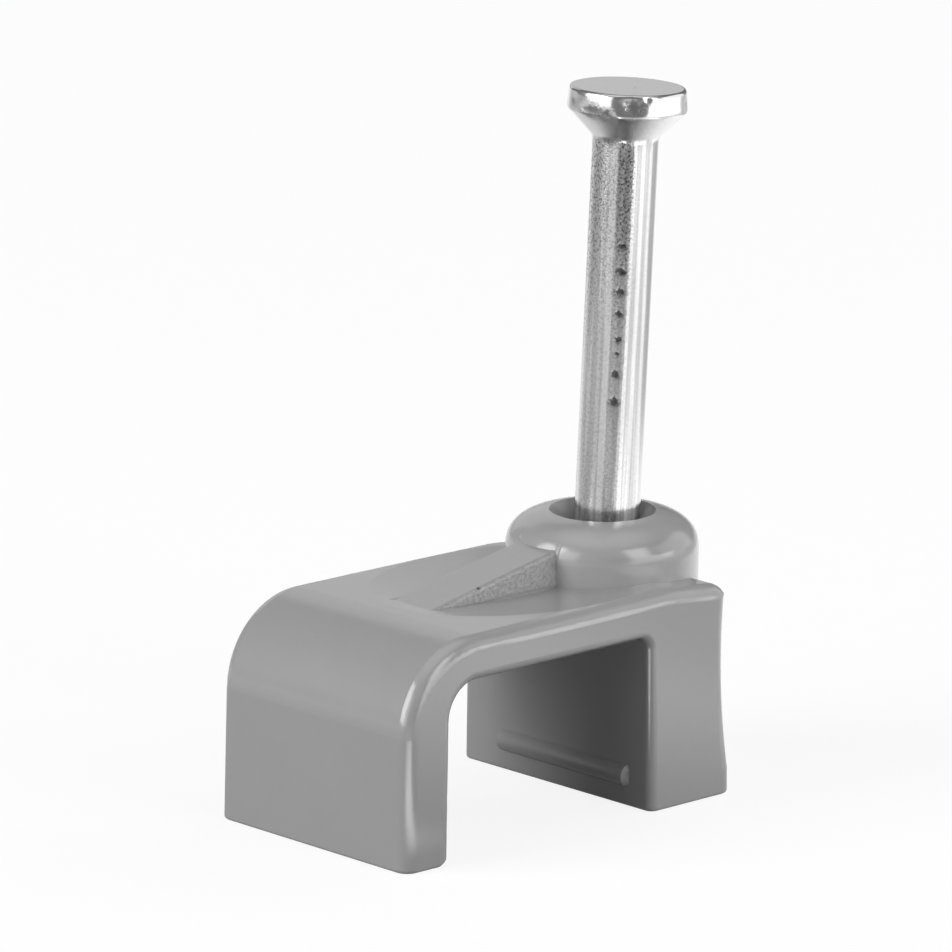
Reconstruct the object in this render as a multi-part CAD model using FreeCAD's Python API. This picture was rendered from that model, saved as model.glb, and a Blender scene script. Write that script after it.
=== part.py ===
import FreeCAD, Part
import math
import os

# A nail-in clip that holds one flat twin-core cable against a wall.
# Millimetres. +Z points out of the wall, the cable runs along Y, and the origin
# is on the axis of the nail hole, at the wall.

# Cable channel
channel_width = 8.28
channel_height = 5.41
channel_hook_radius = 1.1
channel_nail_radius = 0.4

# Walls of the moulded body
hook_leg_thickness = 1.78
nail_leg_thickness = 3.5
top_web_thickness = 1.34
nail_axis_to_channel = 1.81
hook_corner_radius = 2.75
nail_leg_corner_radius = 0.75

# Length along the cable: widest at the foot of the hook leg, narrower towards
# the top and towards the boss, with slightly bowed end faces
hook_length_at_foot = 8.2
nail_length_at_foot = 8.18
hook_length_at_top = 8.12
nail_length_at_top = 7.76
end_bow_at_foot = 0.03
end_bow_at_top = 0.13

# Draft angles, in degrees, that let the moulding leave its tool
hook_outer_draft = 0.84
hook_inner_draft = 0.43
nail_wall_draft = 0.6

# Shallow waist in the outer face of the nail leg
waist_depth = 0.27
waist_height = 4.0
waist_length = 6.4

# Fall of the nail leg's top towards its outer end
shoulder_drop = 0.28
shoulder_start_x = -1.0
shoulder_blend_radius = 4.0

# Rounded edges
outer_edge_radius = 0.45
channel_edge_radius = 0.3
foot_edge_radius = 0.1

# Slanted lead-in along the channel side of the hook leg's foot
lead_in_height = 0.28
lead_in_width = 0.45

# Shallow hollow in the top of the web
hollow_depth = 0.23
hollow_start_x = -8.6
hollow_end_x = 1.4
hollow_border = 0.35

# Boss round the nail hole
boss_radius = 2.93
boss_height = 8.36
boss_shoulder_height = 7.25
boss_crest_radius = 1.2
boss_fullness = 0.63

# Stiffening rib on the web, beside the boss
rib_width = 1.68
rib_length = 5.0
rib_height_at_boss = 0.865
rib_tip_drop = 0.08
rib_side_draft = 1.0
rib_edge_radius = 0.12

# Cable grip ridge on the nail leg
ridge_length = 5.6
ridge_height = 0.68
ridge_depth = 0.27
ridge_centre_height = 0.95
ridge_offset = -0.37
ridge_end_chamfer = 0.1

# Nail
nail_diameter = 2.0
nail_length = 20.0
nail_point_length = 2.0
nail_tip_width = 0.12
head_diameter = 3.72
head_band_height = 0.67
head_band_taper = 0.06
head_cone_height = 0.85
head_edge_radius = 0.12
head_neck_radius = 0.35
nail_lean = 2.62
nail_tip_height = 1.28

# Grip marks pressed into the shank by the nail machine
mark_count = 8
mark_pitch = 0.675
mark_radius = 0.2
mark_depth = 0.09
mark_width = 0.34
marks_below_head = 3.5
mark_facing = 226.5

# Nail hole
grip_height = 3.7
grip_length = 0.7
grip_clearance = 0.015
bore_clearance = 0.03
funnel_depth = 1.3
funnel_radius = 1.63

# How far helper shapes run past what they cut
margin = 1.0
# Two places closer than this are taken as the same place
touching = 1e-4


# Places worked out from the sizes above
top_height = channel_height + top_web_thickness
nail_wall_x = -nail_axis_to_channel
outer_x = nail_wall_x + nail_leg_thickness
hook_inner_x = nail_wall_x - channel_width
hook_outer_x = hook_inner_x - hook_leg_thickness
web_middle = channel_height + top_web_thickness / 2
nail_radius = nail_diameter / 2
lean = math.radians(nail_lean)
funnel_foot = boss_height - funnel_depth
bore_reach = max(funnel_foot - grip_height, grip_height - nail_tip_height)
bore_radius = nail_radius / math.cos(lean) + math.tan(lean) * bore_reach + bore_clearance
grip_radius = nail_radius / math.cos(lean) + math.tan(lean) * grip_length / 2 + grip_clearance


def vec(x, y, z):
    return FreeCAD.Vector(x, y, z)


def drafted(x, draft, height):
    """Where a wall that starts at x on the wall plane stands at a height."""
    return x + math.tan(math.radians(draft)) * height


def outline(corners):
    """Closed outline in the XZ plane. Each corner is x, z and its rounding radius."""
    edges = []
    ends = []
    for index, (x, z, radius) in enumerate(corners):
        here = vec(x, 0, z)
        before = corners[index - 1]
        after = corners[(index + 1) % len(corners)]
        back = (vec(before[0], 0, before[1]) - here).normalize()
        onward = (vec(after[0], 0, after[1]) - here).normalize()
        if radius == 0:
            ends.append((here, here))
            continue
        half_angle = back.getAngle(onward) / 2
        reach = radius / math.tan(half_angle)
        inward = (back + onward).normalize()
        middle = here + inward * (radius / math.sin(half_angle) - radius)
        ends.append((here + back * reach, here + onward * reach))
        edges.append(Part.Arc(ends[-1][0], middle, ends[-1][1]).toShape())
    for index, (start, _) in enumerate(ends):
        previous_end = ends[index - 1][1]
        if previous_end.distanceToPoint(start) > touching:
            edges.append(Part.makeLine(previous_end, start))
    return Part.Wire(Part.__sortEdges__(edges))


def extruded(corners, width):
    """A prism of the outline, centred across the cable clip's middle plane."""
    shape = Part.Face(outline(corners)).extrude(vec(0, width, 0))
    shape.translate(vec(0, -width / 2, 0))
    return shape


def turned(wire):
    """The outline turned about the Z axis."""
    return Part.Face(wire).revolve(vec(0, 0, 0), vec(0, 0, 1), 360)


def middle_of(edge):
    return edge.valueAt((edge.FirstParameter + edge.LastParameter) / 2)


def edges_where(shape, test):
    """The edges whose middle point passes the test."""
    return [edge for edge in shape.Edges if test(middle_of(edge))]


def arch_block():
    """Hook leg, web and nail leg: the side view, carried along the cable."""
    hook_outer_top = drafted(hook_outer_x, hook_outer_draft, top_height)
    hook_inner_top = drafted(hook_inner_x, hook_inner_draft, channel_height)
    nail_wall_top = drafted(nail_wall_x, -nail_wall_draft, channel_height)
    side_view = [
        (hook_outer_x, 0, 0),
        (hook_outer_top, top_height, hook_corner_radius),
        (shoulder_start_x, top_height, shoulder_blend_radius),
        (outer_x, top_height - shoulder_drop, nail_leg_corner_radius),
        (outer_x, 0, 0),
        (nail_wall_x, 0, 0),
        (nail_wall_top, channel_height, channel_nail_radius),
        (hook_inner_top, channel_height, channel_hook_radius),
        (hook_inner_x, 0, 0),
    ]
    return extruded(side_view, 2 * hook_length_at_foot)


def plan(z, hook_length, nail_leg_length, bow):
    """Outline seen from above at one height, with both end faces bowed outward."""
    start_x = hook_outer_x - margin
    end_x = outer_x + margin
    middle_x = (start_x + end_x) / 2
    middle_half = (hook_length + nail_leg_length) / 4 + bow
    near = Part.Arc(vec(start_x, -hook_length / 2, z), vec(middle_x, -middle_half, z),
                    vec(end_x, -nail_leg_length / 2, z)).toShape()
    far = Part.Arc(vec(end_x, nail_leg_length / 2, z), vec(middle_x, middle_half, z),
                   vec(start_x, hook_length / 2, z)).toShape()
    nail_end = Part.makeLine(near.valueAt(near.LastParameter),
                             far.valueAt(far.FirstParameter))
    hook_end = Part.makeLine(far.valueAt(far.LastParameter),
                             near.valueAt(near.FirstParameter))
    return Part.Wire([near, nail_end, far, hook_end])


def draft_block():
    """The room between the two drafted end faces of the clip."""
    below = plan(0, hook_length_at_foot, nail_length_at_foot, end_bow_at_foot)
    above = plan(top_height, hook_length_at_top, nail_length_at_top, end_bow_at_top)
    return Part.makeLoft([below, above], True, True)


def bend_radius(half_chord, sag):
    """Radius of the arc that dips by sag over a chord."""
    return (half_chord ** 2 + sag ** 2) / (2 * sag)


def waist_cutter():
    """A large cylinder that hollows the outer face of the nail leg slightly."""
    radius = bend_radius(waist_length / 2, waist_depth)
    width = 2 * nail_length_at_foot
    centre = vec(outer_x + radius - waist_depth, -width / 2, waist_height)
    return Part.makeCylinder(radius, width, centre, vec(0, 1, 0))


def in_channel(point):
    """True on or inside the walls of the cable channel."""
    beside = hook_inner_x - touching < point.x < nail_wall_x + touching
    return beside and point.z < channel_height + touching


def round_edges(body):
    """Round the rims of the two end faces, then the edges of the feet."""
    rims = []
    for face in body.Faces:
        u0, u1, v0, v1 = face.ParameterRange
        normal = face.normalAt((u0 + u1) / 2, (v0 + v1) / 2)
        if abs(normal.y) > max(abs(normal.x), abs(normal.z)):
            rims += [edge for edge in face.Edges if middle_of(edge).z > touching]
    channel_rims = [middle_of(edge) for edge in rims if in_channel(middle_of(edge))]
    outer_rims = [edge for edge in rims if not in_channel(middle_of(edge))]
    body = body.makeFillet(outer_edge_radius, outer_rims)
    body = body.makeFillet(channel_edge_radius, edges_where(
        body, lambda p: any(p.distanceToPoint(q) < touching for q in channel_rims)))
    return body.makeFillet(foot_edge_radius, edges_where(body, lambda p: p.z < touching))


def lead_in():
    """The wedge cut off the hook leg's foot, where it slips over the cable."""
    reach = margin / lead_in_height
    return extruded([
        (hook_inner_x - lead_in_width * (1 + reach), -margin, 0),
        (hook_inner_x + lead_in_width * reach, lead_in_height + margin, 0),
        (hook_inner_x + lead_in_width * reach, -margin, 0),
    ], 2 * hook_length_at_foot)


def web_hollow():
    """A barrel-shaped surface, far larger than the clip, that dips into the web."""
    half_x = (hollow_end_x - hollow_start_x) / 2
    half_y = hook_length_at_top / 2 - hollow_border
    bend_x = bend_radius(half_x, hollow_depth)
    bend_y = bend_radius(half_y, hollow_depth)
    reach = hook_length_at_top
    rise = bend_y - math.sqrt(bend_y ** 2 - reach ** 2)
    left = vec(0, -reach, rise - bend_x)
    right = vec(0, reach, rise - bend_x)
    sides = [Part.Arc(left, vec(0, 0, -bend_x), right).toShape(),
             Part.makeLine(right, vec(0, reach, -bend_x / 2)),
             Part.makeLine(vec(0, reach, -bend_x / 2), vec(0, -reach, -bend_x / 2)),
             Part.makeLine(vec(0, -reach, -bend_x / 2), left)]
    half_turn = math.degrees((half_x + margin) / bend_x)
    face = Part.Face(Part.Wire(sides))
    face.rotate(vec(0, 0, 0), vec(0, 1, 0), half_turn)
    barrel = face.revolve(vec(0, 0, 0), vec(0, 1, 0), -2 * half_turn)
    barrel.translate(vec(hollow_start_x + half_x, 0, top_height - hollow_depth + bend_x))
    return barrel


def boss():
    """The round collar over the web, with its doughnut-like rim."""
    rise = boss_height - boss_shoulder_height
    inset = boss_radius - boss_crest_radius
    shoulder = vec(boss_radius, 0, boss_shoulder_height)
    crest = vec(boss_crest_radius, 0, boss_height)
    rim = Part.BezierCurve()
    rim.setPoles([shoulder, shoulder + vec(0, 0, boss_fullness * rise),
                  crest + vec(boss_fullness * inset, 0, 0), crest])
    sides = [rim.toShape(),
             Part.makeLine(crest, vec(0, 0, boss_height)),
             Part.makeLine(vec(0, 0, boss_height), vec(0, 0, web_middle)),
             Part.makeLine(vec(0, 0, web_middle), vec(boss_radius, 0, web_middle)),
             Part.makeLine(vec(boss_radius, 0, web_middle), shoulder)]
    return turned(Part.Wire(sides))


def nail_column():
    """The half-round column that carries the nail hole down the back of the leg."""
    column = turned(outline([
        (0, 0, 0),
        (boss_radius, 0, foot_edge_radius),
        (boss_radius, boss_shoulder_height, 0),
        (0, boss_shoulder_height, 0),
    ]))
    behind_axis = Part.makeBox(2 * boss_radius, 2 * boss_radius, boss_height,
                               vec(0, -boss_radius, 0))
    return column.common(behind_axis)


def rib():
    """A wedge on the web that climbs from nothing to the side of the boss."""
    tip_x = -(boss_radius + rib_length)
    tip_z = top_height - rib_tip_drop
    slope = (rib_height_at_boss + rib_tip_drop) / rib_length
    wedge = extruded([
        (tip_x, tip_z, 0),
        (0, tip_z - slope * tip_x, 0),
        (0, web_middle, 0),
        (tip_x, web_middle, 0),
    ], 2 * rib_width)
    draft = math.tan(math.radians(rib_side_draft))
    half_low = rib_width / 2 + draft * (boss_height - channel_height)
    half_high = rib_width / 2
    across = Part.makePolygon([
        vec(tip_x, -half_low, channel_height),
        vec(tip_x, half_low, channel_height),
        vec(tip_x, half_high, boss_height),
        vec(tip_x, -half_high, boss_height),
        vec(tip_x, -half_low, channel_height),
    ])
    shape = wedge.common(Part.Face(across).extrude(vec(-tip_x, 0, 0)))
    crests = edges_where(shape, lambda p: tip_x + touching < p.x < -touching
                         and abs(p.z - tip_z - slope * (p.x - tip_x)) < touching)
    return shape.makeFillet(rib_edge_radius, crests)


def grip_ridge():
    """The half-round ridge low on the nail leg that snaps under the cable."""
    radius = bend_radius(ridge_height / 2, ridge_depth)
    wall_x = drafted(nail_wall_x, -nail_wall_draft, ridge_centre_height)
    near_y = ridge_offset - ridge_length / 2
    start = vec(wall_x - ridge_depth + radius, near_y, ridge_centre_height)
    bar = Part.makeCylinder(radius, ridge_length, start, vec(0, 1, 0))
    ends = [edge for edge in bar.Edges if edge.BoundBox.YLength < touching]
    return bar.makeChamfer(ridge_end_chamfer, ends)


def nail_hole():
    """Bore with a short grip neck, and a funnel for the cone under the nail head."""
    lead = bore_radius - grip_radius
    grip_foot = grip_height - grip_length / 2
    grip_top = grip_height + grip_length / 2
    flare = (funnel_radius - bore_radius) / funnel_depth
    return turned(outline([
        (0, -margin, 0),
        (bore_radius, -margin, 0),
        (bore_radius, grip_foot - lead, 0),
        (grip_radius, grip_foot, 0),
        (grip_radius, grip_top, 0),
        (bore_radius, grip_top + lead, 0),
        (bore_radius, funnel_foot, 0),
        (funnel_radius + flare * margin, boss_height + margin, 0),
        (0, boss_height + margin, 0),
    ]))


def clip_body():
    """The whole moulding, as one solid."""
    body = arch_block().common(draft_block())
    body = body.cut(waist_cutter())
    body = round_edges(body)
    body = body.cut([web_hollow(), lead_in()])
    body = body.fuse([boss(), nail_column(), rib(), grip_ridge()])
    return body.cut(nail_hole()).removeSplitter()


def nail_blank():
    """Turned shape of the nail, standing on the wall plane along the Z axis."""
    head_radius = head_diameter / 2
    band_foot = nail_length - head_band_height
    cone_foot = band_foot - head_cone_height
    return turned(outline([
        (0, 0, 0),
        (nail_radius, 0, 0),
        (nail_radius, cone_foot, head_neck_radius),
        (head_radius, band_foot, head_edge_radius),
        (head_radius - head_band_taper, nail_length, head_edge_radius),
        (0, nail_length, 0),
    ]))


def square(half, z):
    """A square outline round the Z axis."""
    corners = [vec(half, half, z), vec(-half, half, z), vec(-half, -half, z), vec(half, -half, z)]
    return Part.makePolygon(corners + corners[:1])


def point_envelope():
    """Room for the nail: a four-sided point, and open space above it."""
    half = head_diameter
    above = Part.makeBox(2 * half, 2 * half, nail_length, vec(-half, -half, nail_point_length))
    sides = [square(nail_tip_width / 2, 0), square(nail_radius, nail_point_length)]
    return Part.makeLoft(sides, True, True).fuse(above)


def grip_marks():
    """Small cross cuts down two opposite sides of the shank."""
    marks = []
    head_foot = nail_length - head_band_height - head_cone_height
    for side in (mark_facing, mark_facing + 180):
        angle = math.radians(side)
        out = vec(math.cos(angle), math.sin(angle), 0)
        across = vec(-math.sin(angle), math.cos(angle), 0)
        for index in range(mark_count):
            z = head_foot - marks_below_head - index * mark_pitch
            centre = out * (nail_radius - mark_depth + mark_radius) + vec(0, 0, z)
            start = centre - across * (mark_width / 2)
            marks.append(Part.makeCylinder(mark_radius, mark_width, start, across))
    return marks


def nail():
    """The nail, leaning in the hole as it does before it is driven home."""
    body = nail_blank().common(point_envelope()).cut(grip_marks())
    tip_to_grip = (grip_height - nail_tip_height) / math.cos(lean)
    body.translate(vec(0, 0, grip_height - tip_to_grip))
    body.rotate(vec(0, 0, grip_height), vec(0, 1, 0), nail_lean)
    return body


os.makedirs("parts", exist_ok=True)
for name, build in (("clip_body", clip_body), ("nail", nail)):
    shape = build()
    shape.exportStep("parts/" + name + ".step")
    box = shape.BoundBox
    print(name, "valid", shape.isValid(), "solids", len(shape.Solids),
          "volume", round(shape.Volume, 2), "size", round(box.XLength, 2),
          round(box.YLength, 2), round(box.ZLength, 2))
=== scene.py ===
# %% [markdown]
# # A nail-in cable clip
# The object is a small grey moulding that straddles a flat cable, with a zinc-plated nail
# standing in its boss. The CAD model gives both shapes in real size, so this lesson is about
# what CAD leaves out: the skin of a moulded plastic part, and the drawn, dented, plated wire
# of a cheap nail. Lengths are metres, because the frame is, and a helper writes millimetres.

# %% Load the frame
import math
import random

import bmesh
import bpy
from mathutils import Matrix, Vector


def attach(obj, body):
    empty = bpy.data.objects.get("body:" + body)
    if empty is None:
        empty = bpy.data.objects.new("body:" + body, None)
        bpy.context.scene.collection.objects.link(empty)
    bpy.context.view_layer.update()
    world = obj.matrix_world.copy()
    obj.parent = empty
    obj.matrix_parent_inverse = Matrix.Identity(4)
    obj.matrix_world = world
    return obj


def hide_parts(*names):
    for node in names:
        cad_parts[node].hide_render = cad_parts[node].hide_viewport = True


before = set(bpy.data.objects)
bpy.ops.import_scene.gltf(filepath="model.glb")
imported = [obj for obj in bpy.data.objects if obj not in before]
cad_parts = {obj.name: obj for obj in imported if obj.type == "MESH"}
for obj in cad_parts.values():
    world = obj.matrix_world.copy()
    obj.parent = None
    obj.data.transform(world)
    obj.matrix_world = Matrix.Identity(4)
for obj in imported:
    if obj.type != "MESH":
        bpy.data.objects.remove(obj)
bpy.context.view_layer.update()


def mm(length):
    """Millimetres, as metres."""
    return length / 1000


# %% [markdown]
# ## Shader maths as Python
# A material is a tree of nodes, but most of it is plain arithmetic: a mask times a depth,
# one minus a noise. So a socket is wrapped in a small class whose operators add the Math
# nodes, and every other node comes from one method. Vectors go through Vector Math and
# colours through Mix, because a Math node would turn both into a single grey number.

# %% A socket that does sums
class Wire:
    """An output socket. Arithmetic on it adds the nodes that do the sum."""

    def __init__(self, tree, socket):
        self.tree = tree
        self.socket = socket

    def node(self, kind, settings=None, inputs=None, output=0):
        return add_node(self.tree, kind, settings, inputs, output)

    def sum(self, operation, *values):
        """The node that fits this socket. Mix has its factor at 0, its two colours at 6 and 7."""
        if self.socket.type == "RGBA":
            return self.node("ShaderNodeMix", {"data_type": "RGBA", "blend_type": operation},
                             dict(zip((0, 6, 7), (1.0, *values))), 2)
        kind = "ShaderNodeVectorMath" if self.socket.type == "VECTOR" else "ShaderNodeMath"
        return self.node(kind, {"operation": operation}, dict(enumerate(values)))

    def __add__(self, other):
        return self.sum("ADD", self, other)

    def __radd__(self, other):
        return self.sum("ADD", other, self)

    def __sub__(self, other):
        return self.sum("SUBTRACT", self, other)

    def __rsub__(self, other):
        return self.sum("SUBTRACT", other, self)

    def __mul__(self, other):
        return self.sum("MULTIPLY", self, other)

    def __rmul__(self, other):
        return self.sum("MULTIPLY", other, self)

    def __truediv__(self, other):
        return self.sum("DIVIDE", self, other)

    def __abs__(self):
        return self.sum("ABSOLUTE", self)

    def at_most(self, other):
        return self.sum("MINIMUM", self, other)

    def at_least(self, other):
        return self.sum("MAXIMUM", self, other)

    def part(self, axis):
        """One coordinate of a vector."""
        return self.node("ShaderNodeSeparateXYZ", None, {0: self}, "XYZ".index(axis))

    def length(self):
        return self.node("ShaderNodeVectorMath", {"operation": "LENGTH"}, {0: self}, "Value")

    def along(self, direction):
        """How far this vector reaches along a direction."""
        return self.node("ShaderNodeVectorMath", {"operation": "DOT_PRODUCT"},
                         {0: self, 1: direction}, "Value")

    def as_colour(self):
        """A number as a grey."""
        return self.node("ShaderNodeCombineColor", None, {i: self for i in range(3)})

    def ramp(self, low, high, out_low=0.0, out_high=1.0):
        """A soft step: out_low up to low, out_high from high on."""
        return self.node("ShaderNodeMapRange", {"interpolation_type": "SMOOTHSTEP"},
                         {"Value": self, "From Min": low, "From Max": high,
                          "To Min": out_low, "To Max": out_high})

    def fade(self, low, high):
        """A soft step down: 1 up to low, 0 from high on."""
        return self.ramp(low, high, 1.0, 0.0)

    def grain(self, scale, detail=2.0, roughness=0.5):
        """Noise over this vector, from 0 to 1, with so many lumps per unit."""
        return self.node("ShaderNodeTexNoise", None, {"Vector": self, "Scale": scale,
                                                      "Detail": detail, "Roughness": roughness})

    def as_bump(self, depth):
        """This height as a bump for the shader's Normal. One unit is so deep, in metres."""
        return self.node("ShaderNodeBump", None,
                         {"Height": self, "Strength": 1.0, "Distance": depth})


def add_node(tree, kind, settings=None, inputs=None, output=0):
    """Add a node, set it up, feed its sockets and hand back one of its outputs."""
    node = tree.nodes.new(kind)
    for name, value in (settings or {}).items():
        setattr(node, name, value)
    for name, value in (inputs or {}).items():
        if isinstance(value, Wire):
            tree.links.new(value.socket, node.inputs[name])
        else:
            node.inputs[name].default_value = value
    return Wire(tree, node.outputs[output])


def grey(value):
    return (value, value, value, 1.0)


def new_finish(name, **constants):
    """A material with a Principled shader; constants go on the shader's own sockets."""
    material = bpy.data.materials.new(name)
    material.use_nodes = True
    shader = material.node_tree.nodes["Principled BSDF"]
    for socket, value in constants.items():
        shader.inputs[socket.replace("_", " ")].default_value = value
    return material, shader


def feed(shader, **wires):
    """Plug what varies over the surface into the shader."""
    for socket, wire in wires.items():
        wire.tree.links.new(wire.socket, shader.inputs[socket.replace("_", " ")])


def position_in_mm(tree):
    """Where a point of the object is, in millimetres of the CAD frame."""
    place = add_node(tree, "ShaderNodeTexCoord", output="Object")
    return place.node("ShaderNodeVectorMath", {"operation": "SCALE"}, {0: place, "Scale": 1000.0})


print("Shader helpers ready")

# %% [markdown]
# ## The moulded plastic
# The clip is polypropylene: mid grey, with a satin skin that copies the polish of its mould.
# Big faces have a slow mottle where the melt cooled unevenly, and a fine grain. The flanks of
# the rib were cut in the mould by spark erosion and never polished, so they are pitted and
# duller. None of it is more than a few hundredths of a millimetre deep, too fine to model, so it
# is noise in the plastic's bump, colour and roughness. The flanks are also painted a little
# darker in colour: painted shade beside the rib. The masks are written from the rib's own place
# in the CAD frame, in millimetres. A small burnt fleck sits on the rib's near edge.

# %% Where the rib is
rib_tip_x, rib_root_x = -7.9, -2.7
rib_flank_y = 0.86
web_top_z = 6.7
fleck_place, fleck_radius = (-5.94, -0.82, 7.06), 0.05
print("Rib length, mm:", round(rib_root_x - rib_tip_x, 2))

# %% Mask for the flanks of the rib
plastic, plastic_shader = new_finish("grey_satin_polypropylene", IOR=1.49, Specular_IOR_Level=0.8)
place = position_in_mm(plastic.node_tree)
across, out_of_wall = place.part("X"), place.part("Z")
beside_rib = abs(abs(place.part("Y")) - rib_flank_y).fade(0.03, 0.09)
along_rib = (across.ramp(rib_tip_x - 0.1, rib_tip_x + 0.1)
             * across.fade(rib_root_x, rib_root_x + 0.2))
rib_flank = beside_rib * along_rib * out_of_wall.ramp(web_top_z - 0.14, web_top_z - 0.06)
print("Rib mask made of", len(plastic.node_tree.nodes), "nodes")

# %% Grey satin polypropylene
plastic_grey, plastic_roughness = 0.36, 0.19
# Painted shade: the rib's flanks are made a little darker in colour, on top of their pits.
mottle_contrast, skin_contrast, pit_contrast, flank_painted_shade = 0.05, 0.03, 1.1, 0.06
fleck_grey = 0.15
mottle = place.grain(0.45, 3.0)
skin = place.grain(2.6, 3.0, 0.5)
pits = place.grain(8.0, 2.0, 0.6)
# On the rib's flanks: the pits, and a painted shade that darkens them.
shade = (1.0 + (mottle - 0.5) * mottle_contrast + (skin - 0.5) * skin_contrast
         + rib_flank * ((pits - 0.5) * pit_contrast - flank_painted_shade))
off_fleck = (place - fleck_place).length().ramp(fleck_radius, 1.5 * fleck_radius)
shade = shade * (fleck_grey + (1.0 - fleck_grey) * off_fleck)
skin_height = skin * 0.35 + rib_flank * pits * 5.0
feed(plastic_shader, Base_Color=shade.as_colour() * grey(plastic_grey),
     Normal=skin_height.as_bump(mm(0.006)),
     Roughness=plastic_roughness + (mottle - 0.5) * 0.06 + rib_flank * 0.2)
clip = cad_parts["clip_body"]
clip.data.materials.clear()
clip.data.materials.append(plastic)
print("Plastic finish on", clip.name, "with", len(plastic.node_tree.nodes), "nodes")

# %% [markdown]
# ## The nail's own frame
# The nail leans in its hole. Its shape is easier to think about standing on its tip, so the
# leaning axis is read from the CAD node: from the middle of the tip to the middle of the head.
# The mesh is made upright and then set on that axis, which keeps it where the CAD put it.

# %% Read the nail's axis and sizes from the frame
cad_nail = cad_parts["nail"]
corners = [v.co.copy() for v in cad_nail.data.vertices]
crown_level = max(p.z for p in corners) - mm(0.2)
crown_faces = [face for face in cad_nail.data.polygons if face.center.z > crown_level]
axis = max(crown_faces, key=lambda face: face.area).normal.copy()
tip_corners = 4
lowest = sorted({tuple(round(c, 7) for c in p) for p in corners}, key=lambda p: p[2])[:tip_corners]
tip = sum((Vector(p) for p in lowest), Vector()) / tip_corners


def along_axis(point):
    return (point - tip).dot(axis)


def off_axis(point):
    return (point - tip - axis * along_axis(point)).length


length = max(along_axis(p) for p in corners)
head_radius = max(off_axis(p) for p in corners)
on_plain_wire = [p for p in corners if 0.3 * length < along_axis(p) < 0.8 * length]
shank_radius = max(off_axis(p) for p in on_plain_wire)
nail_turn = Vector((0, 0, 1)).rotation_difference(axis)
nail_place = Matrix.Translation(tip) @ nail_turn.to_matrix().to_4x4()
nail_sizes = (length, 2 * shank_radius, 2 * head_radius)
print("Nail length, shank and head, mm:", [round(size * 1000, 3) for size in nail_sizes])
print("Lean, degrees:", round(math.degrees(nail_turn.angle), 2))

# %% [markdown]
# ## The nail's shape
# Nails are cut from drawn wire. The die leaves fine flats and lines along the wire, which is
# why the shank shows bright and dark stripes and not one smooth highlight. The machine grips
# the wire while it hammers the head, which leaves a row of small bites on two sides and a
# slightly flattened strip, and the head comes out a little ragged. One turned surface with
# many columns can hold all of that: each row is a height and a radius, and small functions of
# height and angle press into it. Nothing is ever pushed outwards, so the nail stays inside
# its CAD size.

# %% Heights and radii of the turned outline
band_height, band_taper = mm(0.67), mm(0.06)
cone_height = mm(0.85)
rim_radius, neck_radius = mm(0.12), mm(0.35)
point_length, tip_half = mm(2.0), mm(0.06)
band_foot = length - band_height
cone_foot = band_foot - cone_height


def rounded(before, corner, after, radius, steps):
    """Points of the arc that rounds a corner of the outline."""
    back, onward = (before - corner).normalized(), (after - corner).normalized()
    half = back.angle(onward) / 2
    centre = corner + (back + onward).normalized() * radius / math.sin(half)
    start = corner + back * radius / math.tan(half) - centre
    end = corner + onward * radius / math.tan(half) - centre
    return [centre + start.slerp(end, i / steps) * radius for i in range(steps + 1)]


neck = Vector((shank_radius, cone_foot))
shoulder = Vector((head_radius, band_foot))
rim = Vector((head_radius - band_taper, length))
head_outline = (rounded(Vector((shank_radius, 0)), neck, shoulder, neck_radius, 8)
                + rounded(neck, shoulder, rim, rim_radius, 5)
                + rounded(shoulder, rim, Vector((0, length)), rim_radius, 6))
shank_rows = 330
longest_step = mm(0.07)
outline = [Vector((shank_radius, head_outline[0].y * i / shank_rows)) for i in range(shank_rows)]
for a, b in zip(head_outline, head_outline[1:] + [Vector((0, length))]):
    steps = max(1, round((b - a).length / longest_step))
    outline += [a.lerp(b, i / steps) for i in range(steps)]
print("Outline rows:", len(outline))

# %% Small shapes that press into a round wire
def turn_between(a, b):
    """Angle from b to a, the short way round."""
    return (a - b + math.pi) % math.tau - math.pi


def bell(x, width):
    return math.exp(-(x / width) ** 2)


def smooth(x, low, high):
    """A soft step: 0 at low, 1 at high."""
    t = min(max((x - low) / (high - low), 0.0), 1.0)
    return t * t * (3 - 2 * t)


print("Half way up a soft step:", smooth(0.5, 0.0, 1.0))

# %% Die lines and jaw bites
line_count = 46
dice = random.Random(11)
# Angle round the wire, width in radians, depth, and drift in radians per millimetre
die_lines = [(dice.uniform(0, math.tau), dice.uniform(0.035, 0.11),
              mm(dice.uniform(0.002, 0.009)), dice.uniform(-0.004, 0.004))
             for _ in range(line_count)]
facing_camera = math.radians(226.5)
# Millimetres below the crown, and size
bites = [(4.71, 0.8), (5.47, 1.0), (6.11, 1.0), (6.76, 0.9),
         (7.55, 0.8), (7.98, 0.5), (8.62, 0.9), (9.45, 1.1)]
bite_aside = 0.03
bite_width, bite_height, bite_deep = 0.13, 0.09, mm(0.022)
strip_width, strip_deep, strip_end = 0.3, mm(0.012), 10.2
jaw_reach = 0.7


def die_depth(angle, height):
    """Flats and lines that the drawing die leaves along the wire."""
    depth = 0.0
    for at, width, deep, drift in die_lines:
        depth += deep * bell(turn_between(angle, at + drift * height / mm(1)), width)
    return depth


def bite_depth(angle, height):
    """The gripping jaws: small cross bites in a shallow flattened strip, on two sides."""
    depth = 0.0
    drop = (length - height) * 1000
    for side in (facing_camera, facing_camera + math.pi):
        off = math.sin(turn_between(angle, side)) * shank_radius * 1000 - bite_aside
        if abs(off) > jaw_reach or math.cos(turn_between(angle, side)) < 0:
            continue
        depth += strip_deep * bell(off, strip_width) * smooth(drop, strip_end, strip_end - 0.8)
        for at, size in bites:
            depth += (bite_deep * size * bell(off, bite_width * size)
                      * bell(drop - at, bite_height * size))
    return depth


print("Die lines:", len(die_lines), "and bites:", len(bites))

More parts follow.
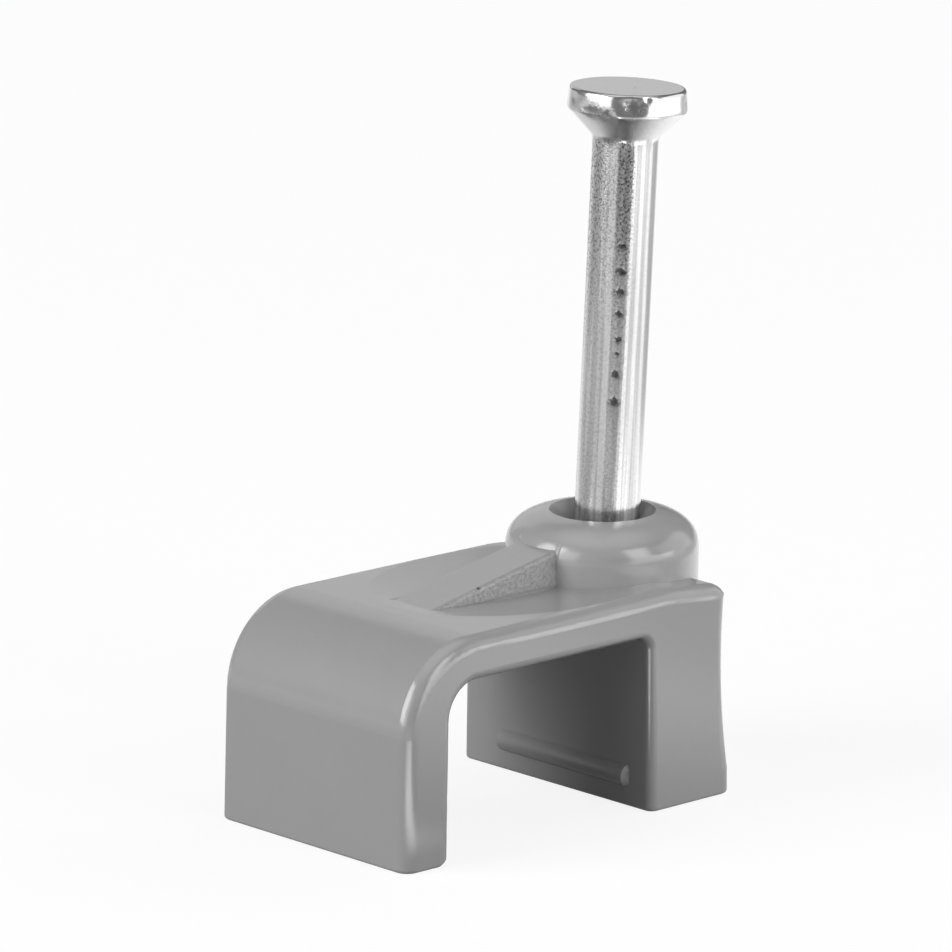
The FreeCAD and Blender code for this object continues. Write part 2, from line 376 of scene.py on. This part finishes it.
# %% Knocks in the rim, and the point
# Degrees round from the camera's side, then in millimetres: height over the crown's edge,
# half width, half height and depth
rim_dents = [(2, -0.30, 0.30, 0.30, 0.10), (-38, -0.62, 0.34, 0.16, 0.07),
             (-20, -0.66, 0.20, 0.12, 0.06), (72, -0.42, 0.10, 0.12, 0.05),
             (18, -0.12, 0.12, 0.10, 0.04), (-66, -0.25, 0.18, 0.2, 0.03),
             (110, -0.5, 0.3, 0.2, 0.06), (160, -0.3, 0.2, 0.3, 0.07),
             (210, -0.6, 0.25, 0.2, 0.05)]
raggedness = mm(0.02)


def dent_depth(angle, height):
    """Knocks in the rim of the head, over a slow wave that leaves it out of round."""
    depth = raggedness * (1 + math.sin(3 * angle + 0.7) * math.cos(5 * angle))
    for turn, up, wide, high, deep in rim_dents:
        off = turn_between(angle, facing_camera + math.radians(turn)) * head_radius
        depth += mm(deep) * bell(off, mm(wide)) * bell(height - length - mm(up), mm(high))
    return depth


def point_limit(angle, height):
    """Radius that the four pinched faces of the point leave."""
    half = tip_half + (shank_radius - tip_half) * height / point_length
    return half / max(abs(math.cos(angle)), abs(math.sin(angle)))


print("Knocks in the rim:", len(rim_dents))

# %% Press the marks into the outline
def pressed_radius(radius, height, angle):
    """Radius of the nail at one angle, with everything that presses into it."""
    if height < cone_foot - neck_radius:
        radius -= die_depth(angle, height) + bite_depth(angle, height)
        return min(radius, point_limit(angle, height))
    if radius > shank_radius:
        share = (radius - shank_radius) / (head_radius - shank_radius)
        return radius - dent_depth(angle, height) * share
    marks = die_depth(angle, height) + bite_depth(angle, height)
    return radius - marks * smooth(height, cone_foot, cone_foot - neck_radius)


print("Radius at mid height, mm:", round(pressed_radius(shank_radius, length / 2, 0) * 1000, 3))

# %% Turn the outline into a mesh
columns = 192
bm = bmesh.new()
rows = []
for radius, height in outline:
    row = []
    for column in range(columns):
        angle = math.tau * column / columns
        pressed = pressed_radius(radius, height, angle)
        row.append(bm.verts.new((pressed * math.cos(angle), pressed * math.sin(angle), height)))
    rows.append(row)
for low, high in zip(rows, rows[1:]):
    for column in range(columns):
        after = (column + 1) % columns
        bm.faces.new((low[column], low[after], high[after], high[column]))
bm.faces.new(reversed(rows[0]))
crown = bm.verts.new((0, 0, length))
for column in range(columns):
    bm.faces.new((rows[-1][column], rows[-1][(column + 1) % columns], crown))
bm.transform(nail_place)
nail_mesh = bpy.data.meshes.new("plated_nail")
bm.to_mesh(nail_mesh)
bm.free()
nail_mesh.shade_smooth()
nail = bpy.data.objects.new("plated_nail", nail_mesh)
bpy.context.collection.objects.link(nail)
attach(nail, "root")
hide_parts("nail")
print("Nail mesh faces:", len(nail_mesh.polygons))

# %% [markdown]
# ## Zinc plate over drawn wire
# Bright zinc is a metal, so its look is almost all reflection. Three things break the mirror.
# Polished and dull lines run along the wire, as noise that is fine round the wire and stretched
# along it. A few bright lines at fixed angles are painted into the zinc's colour: painted
# reflections that stand in for the stripes the polished lines mirror. The plate is speckled with
# dark grains where the jaws rubbed it, under the head, and the shank is also made darker and
# speckled on its left side, most towards the head. The bites, and two knocks in the rim of the
# head, are dull and nearly black. All of these follow the leaning nail, so the position is counted
# from the tip and turned upright first. Then one direction points at the camera's side of the nail,
# and another one aside, so that a mark is placed by two numbers: how far aside, and how far below
# the crown.

# %% The nail's own directions
zinc, zinc_shader = new_finish("bright_zinc_plate", Metallic=1.0)
place = position_in_mm(zinc.node_tree)
stand_up = nail_turn.inverted().to_euler()
upright = place.node("ShaderNodeVectorRotate", {"rotation_type": "EULER_XYZ"},
                     {"Vector": place - tuple(tip * 1000), "Rotation": stand_up})
front = (math.cos(facing_camera), math.sin(facing_camera), 0.0)
aside = (-front[1], front[0], 0.0)
off_centre, towards_front = upright.along(aside), upright.along(front)
drop = length * 1000 - upright.part("Z")
flat = drop.node("ShaderNodeCombineXYZ", None, {"X": off_centre, "Z": drop})
on_shank = drop.ramp(1.4, 1.6)


def nearness(spots):
    """How far the nearest spot is: 0 in its middle, 1 at its edge.

    A spot is how far aside and how far down it lies, and its half width and half height."""
    nearest = None
    for off, down, wide, high in spots:
        reach = ((flat - (off, 0.0, down)) / (wide, 1.0, high)).length()
        nearest = nearest.at_most(reach) if nearest else reach
    return nearest


print("Camera's side of the nail:", tuple(round(v, 3) for v in front))

# %% Painted reflection stripes and streaks
# Painted reflections: angle from the camera's side and half width, both in radians, and how much
# brighter
painted_reflection_lines = [(-1.30, 0.20, 0.16), (-0.30, 0.14, 0.20), (0.30, 0.08, 0.22),
                  (0.58, 0.10, 0.26), (0.91, 0.09, 0.12), (1.60, 0.20, 0.20),
                  (2.10, 0.10, 0.20), (2.60, 0.15, 0.20), (-2.10, 0.12, 0.22),
                  (-2.70, 0.16, 0.18)]
along_wire = (1.0, 1.0, 0.03)
round_wire = off_centre.sum("ARCTAN2", off_centre, towards_front)
painted_reflection_stripes = sum(abs(round_wire - at).ramp(wide * 0.4, wide, gain, 0.0)
             for at, wide, gain in painted_reflection_lines)
streaks = (upright * along_wire).grain(3.4, 3.0, 0.6).ramp(0.36, 0.64)
crystals = upright.grain(13.0, 3.0, 0.6)
print("Polished lines:", len(painted_reflection_lines))

# %% Where the plate is bitten, knocked and rubbed, and darker on its left side
knocks = [(0.16, 0.33, 0.20, 0.22), (-0.95, 0.55, 0.42, 0.14)]
bitten_spots = [(bite_aside, at, 0.15 * size, 0.12 * size) for at, size in bites]
# Besides the rubbed strip of the jaws, the shank is made darker, with dark specks, on its left
# side, most towards the head.
darker_side_azimuth = 2.9
ragged = (upright.grain(8.0, 3.0, 0.7) - 0.5) * 3.2
bitten = (nearness(bitten_spots) + ragged).fade(0.6, 1.2)
knocked = (nearness(knocks) + ragged).fade(0.7, 1.3) * towards_front.ramp(0.0, 0.3)
darker_side_direction = (math.cos(darker_side_azimuth), math.sin(darker_side_azimuth), 0.0)
darker_left_side = upright.along(darker_side_direction).ramp(0.5, 0.95)
strip = abs(off_centre - 0.05).fade(0.14, 0.34)
rubbed_strip_and_dark_side = (strip + darker_left_side * 0.9).at_most(1.0) * drop.ramp(3.0, 9.0, 1.0, 0.25) * on_shank
specks = crystals.fade(0.36, 0.54)
print("Dull spots:", len(bitten_spots) + len(knocks))

# %% Bright zinc
zinc_grey, zinc_roughness = 0.6, 0.14
crown_share = 0.72
# On the shank, the painted reflection stripes and the streaks are added to the zinc's grey.
tone = zinc_grey + on_shank * (painted_reflection_stripes + (streaks - 0.5) * 0.2) + (crystals - 0.5) * 0.16
tone = (tone * drop.ramp(0.01, 0.04, crown_share, 1.0) * (1.0 - rubbed_strip_and_dark_side * (0.18 + specks * 0.66))
        * (1.0 - bitten * 0.85) * (1.0 - knocked * 0.6))
zinc_height = on_shank * streaks * 0.5 + crystals * (0.15 + rubbed_strip_and_dark_side * 0.5 + knocked * 0.4)
feed(zinc_shader, Base_Color=tone.as_colour(), Normal=zinc_height.as_bump(mm(0.012)),
     Roughness=(zinc_roughness + crystals * 0.08 + rubbed_strip_and_dark_side * specks * 0.2
                + bitten * 0.35 + knocked * 0.2))
nail_mesh.materials.append(zinc)
print("Zinc finish with", len(zinc.node_tree.nodes), "nodes")

# %% [markdown]
# ## A pale table and a white backdrop
# The picture is a product shot on white. To the camera the table glows a little, so that it
# reads as white and still keeps the clip's shadow. Its own colour is a middling grey, because
# hardly any light comes back up into the channel in the picture. Gloss and metal mirror the
# table too, and what they see there was read off the picture's reflections: the plastic's edges
# see the table close to the clip, and the nail sees it further out. So reflections see a map of
# glow on the table, brighter to the right and behind than in front, where the photographer
# stood. The world is white to the camera. For reflections it is a dim room with a bright
# ceiling, and it adds almost no light.

# %% Table
table_size = 2.0
half = table_size / 2
table_mesh = bpy.data.meshes.new("table")
table_mesh.from_pydata([(-half, -half, 0), (half, -half, 0), (half, half, 0), (-half, half, 0)],
                       [], [(0, 1, 2, 3)])
table = bpy.data.objects.new("table", table_mesh)
bpy.context.collection.objects.link(table)
print("Table side, metres:", table_size)

# %% Directions on the table
paper, paper_shader = new_finish("pale_paper", Roughness=0.9, Specular_IOR_Level=0.0,
                                 Emission_Strength=1.0)
place = position_in_mm(paper.node_tree)
distance = place.length()
camera_azimuth, right_azimuth, right_front_azimuth = 226.0, 297.0, 314.0


def heading(azimuth):
    """A level direction. Azimuth counts from +X towards +Y, in degrees."""
    return (math.cos(math.radians(azimuth)), math.sin(math.radians(azimuth)), 0.0)


def towards(azimuth):
    """How squarely a point of the table lies in a direction from the clip, from -1 to 1."""
    return place.along(heading(azimuth)) / distance.at_least(1.0)


print("Camera's side of the table:", tuple(round(v, 3) for v in heading(camera_azimuth)))

# %% What the table shows to gloss, close to the clip
near_glow, near_right_glow, near_back_glow, pool_glow = 0.2, 1.8, 0.6, 4.5
ahead, across = place.along(heading(camera_azimuth)), place.along(heading(camera_azimuth - 90))
pool = (across.ramp(0.0, 2.5) * across.fade(5.0, 14.0) * ahead.fade(24.0, 34.0)
        * place.part("Y").fade(-9.0, -5.5))
right_front = (place.along(heading(right_front_azimuth)).ramp(-2.0, 24.0)
               * place.part("X").ramp(8.0, 16.0, 1.0, 0.4))
near = (near_glow + right_front * near_right_glow + pool * pool_glow
        + ahead.fade(-14.0, -3.0) * near_back_glow)
print("Glow of the pool beside the clip:", near_glow + pool_glow)

# %% What the table shows to metal, further out
far_glow, far_right_glow, outer_right_glow = 0.62, 0.32, 1.6
far_front_dim, far_back_glow = 0.30, 0.4
right_side = towards(right_azimuth).ramp(0.62, 0.78)
front_side = towards(camera_azimuth).ramp(0.90, 0.96) * distance.ramp(45.0, 110.0)
back_side = towards(camera_azimuth - 180).ramp(0.75, 0.98)
far = (far_glow + right_side * (far_right_glow + distance.ramp(120.0, 220.0) * outer_right_glow)
       - front_side * far_front_dim + back_side * far_back_glow)
mirrored = near + (far - near) * distance.ramp(34.0, 50.0)
print("Glow far out on the right:", far_glow + far_right_glow + outer_right_glow)


# %% Pale paper
def ray_kinds(tree):
    """Masks for camera rays, and for reflected or transmitted ones."""
    rays = tree.nodes.new("ShaderNodeLightPath")
    camera, glossy, through = (Wire(tree, rays.outputs[name]) for name in
                               ("Is Camera Ray", "Is Glossy Ray", "Is Transmission Ray"))
    return camera, glossy.at_least(through) * (1.0 - camera)


table_grey, glow_for_camera = 0.17, 0.86
is_camera, is_mirror = ray_kinds(paper.node_tree)
fibre = table_grey + (place.grain(0.8, 3.0) - 0.5) * 0.01
glow = is_camera * glow_for_camera + is_mirror * mirrored
feed(paper_shader, Base_Color=fibre.as_colour(), Emission_Color=glow.as_colour())
table_mesh.materials.append(paper)
print("Paper with", len(paper.node_tree.nodes), "nodes")

# %% World
room_for_mirrors, ceiling_for_mirrors, room_for_light = 0.25, 0.9, 0.03
world = bpy.data.worlds.new("studio")
bpy.context.scene.world = world
world.use_nodes = True
tree = world.node_tree
tree.nodes.clear()
is_camera, is_mirror = ray_kinds(tree)
direction = add_node(tree, "ShaderNodeTexCoord", output="Generated")
ceiling = direction.part("Z").ramp(0.75, 0.95)
strength = (is_camera + is_mirror * (room_for_mirrors + ceiling * ceiling_for_mirrors)
            + (1.0 - is_camera - is_mirror) * room_for_light)
background = strength.node("ShaderNodeBackground", None, {"Color": grey(1.0), "Strength": strength})
output = tree.nodes.new("ShaderNodeOutputWorld")
tree.links.new(background.socket, output.inputs["Surface"])
print("World with", len(tree.nodes), "nodes")

# %% [markdown]
# ## Studio light
# The picture was lit like a small product tent: soft boxes stand low on all sides, and little
# comes from above or from the table, so the inside of the channel stays dark. A box high on the
# right makes the bright patch on the boss. A wide low one makes the patch on the right of the
# nail's head. Their places were read off those reflections. The powers of the boxes were found
# by rendering the clip under one box at a time and solving for the mix that gives the picture's
# own shading, and were then trimmed. The box at the back right is hidden from
# reflections, because the picture shows no patch for it.

# %% Soft boxes
box_distance = 0.45
clip_middle = Vector((mm(-4), 0, mm(7)))


def soft_box(name, azimuth, elevation, width, height, power, mirrored=True):
    """An area lamp that looks at the clip. Azimuth counts from +X towards +Y, in degrees."""
    lamp = bpy.data.lights.new(name, "AREA")
    lamp.shape = "RECTANGLE"
    lamp.size, lamp.size_y = width, height
    lamp.energy = power
    rise = math.radians(elevation)
    outward = Vector(heading(azimuth)) * math.cos(rise) + Vector((0, 0, math.sin(rise)))
    holder = bpy.data.objects.new(name, lamp)
    holder.location = clip_middle + outward * box_distance
    holder.rotation_mode = "QUATERNION"
    holder.rotation_quaternion = outward.to_track_quat("Z", "Y")
    holder.visible_camera = False
    holder.visible_glossy = mirrored
    bpy.context.collection.objects.link(holder)


soft_box("right_high", 274, 30, 0.22, 0.28, 0.70)
soft_box("right_low", 290, 6, 0.50, 0.11, 0.50)
soft_box("right_far", 333, 20, 0.50, 0.32, 0.60)
soft_box("left_near", 180, 18, 0.26, 0.26, 0.46)
soft_box("left_far", 157, 24, 0.26, 0.34, 1.52)
soft_box("back_right", 8, 40, 0.30, 0.20, 0.34, mirrored=False)
soft_box("back", 60, 20, 0.30, 0.26, 0.14)
print("Soft boxes:", len(bpy.data.lights))

# %% [markdown]
# ## Camera
# The picture was taken from about a quarter of a metre with a long lens, a little from above.
# The angles, distance and focal length were worked out from the clip's own straight edges.

# %% Camera
camera_turn, camera_rise, camera_roll = 43.713, 13.923, 0.691
camera_distance = mm(259.66)
aim_left, aim_up = mm(3.729), mm(9.084)
focal_pixels, picture_pixels, film_width = 8519.6, 952, 36.0
turn, rise, roll = (math.radians(a) for a in (camera_turn, camera_rise, camera_roll))
forward = Vector((math.sin(turn) * math.cos(rise), math.cos(turn) * math.cos(rise),
                  -math.sin(rise)))
level_right = Vector((math.cos(turn), -math.sin(turn), 0))
level_up = level_right.cross(forward)
right = level_right * math.cos(roll) + level_up * math.sin(roll)
up = level_up * math.cos(roll) - level_right * math.sin(roll)
lens = bpy.data.cameras.new("camera")
lens.lens = focal_pixels / picture_pixels * film_width
lens.sensor_width = film_width
lens.clip_start, lens.clip_end = mm(10), 10.0
camera = bpy.data.objects.new("camera", lens)
camera.location = up * aim_up - right * aim_left - forward * camera_distance
camera.rotation_mode = "QUATERNION"
camera.rotation_quaternion = Matrix((right, up, -forward)).transposed().to_quaternion()
bpy.context.collection.objects.link(camera)
bpy.context.scene.camera = camera
bpy.context.scene.view_settings.view_transform = "Standard"
print("Camera at", tuple(round(v, 4) for v in camera.location), "lens", round(lens.lens, 1))

# %% [markdown]
# ## The end
# The finished look keeps the object's size. The script ends by bringing the view layer up to date.

# %% Finish
bpy.context.view_layer.update()
